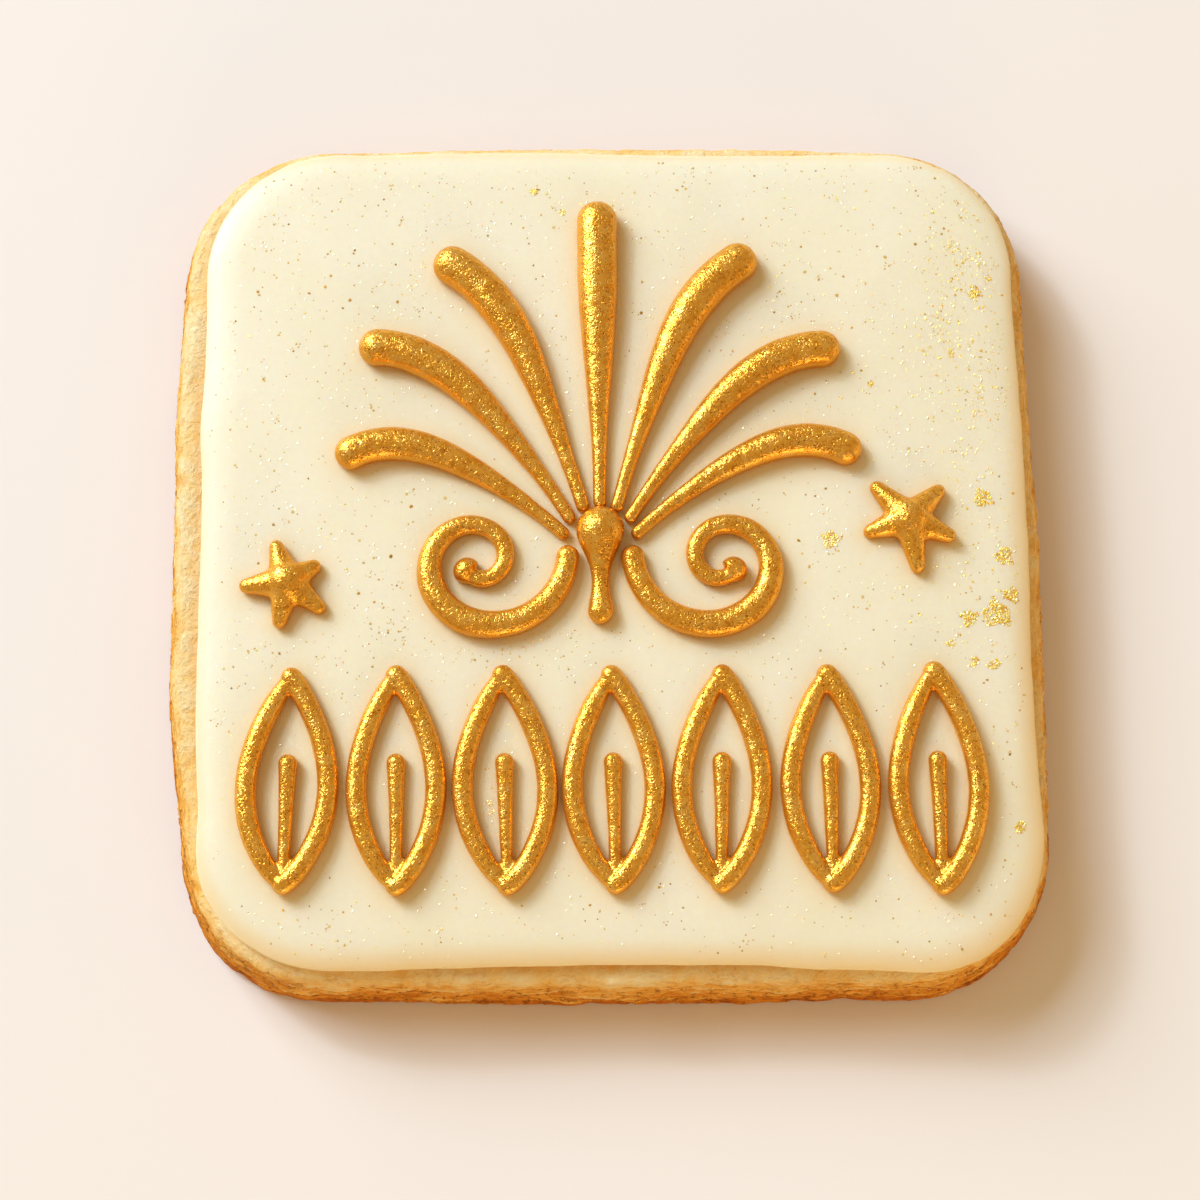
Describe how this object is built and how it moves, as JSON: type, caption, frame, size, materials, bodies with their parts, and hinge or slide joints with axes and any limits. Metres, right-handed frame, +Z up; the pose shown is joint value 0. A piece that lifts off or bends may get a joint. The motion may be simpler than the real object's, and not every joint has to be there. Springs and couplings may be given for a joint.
{
  "type": "iced sugar cookie",
  "caption": "Rounded-square baked cookie with a pillow of white icing and piped gold ornament: a fan of plumes, scrolls, leaves and stars.",
  "frame": {"origin": "centre of the cookie's outline, on the table under it", "axes": "+Z up out of the iced face, +Y towards the top of the ornament, +X to its right"},
  "size_m": [0.081, 0.0809, 0.0119],
  "materials": {
    "biscuit": "matt golden baked crumb, browner at the base",
    "icing": "satin ivory royal icing with fine speckle",
    "gold_icing": "piped icing painted with edible gold, satin with a grainy sparkle"
  },
  "bodies": {
    "root": {"cookie": "biscuit", "icing": "icing", "plume_1": "gold_icing", "plume_2": "gold_icing", "plume_3": "gold_icing", "plume_4": "gold_icing", "plume_5": "gold_icing", "plume_6": "gold_icing", "plume_7": "gold_icing", "boss": "gold_icing", "scroll_left": "gold_icing", "scroll_right": "gold_icing", "leaf_1": "gold_icing", "leaf_2": "gold_icing", "leaf_3": "gold_icing", "leaf_4": "gold_icing", "leaf_5": "gold_icing", "leaf_6": "gold_icing", "leaf_7": "gold_icing", "star_left": "gold_icing", "star_right": "gold_icing"}
  },
  "joints": []
}
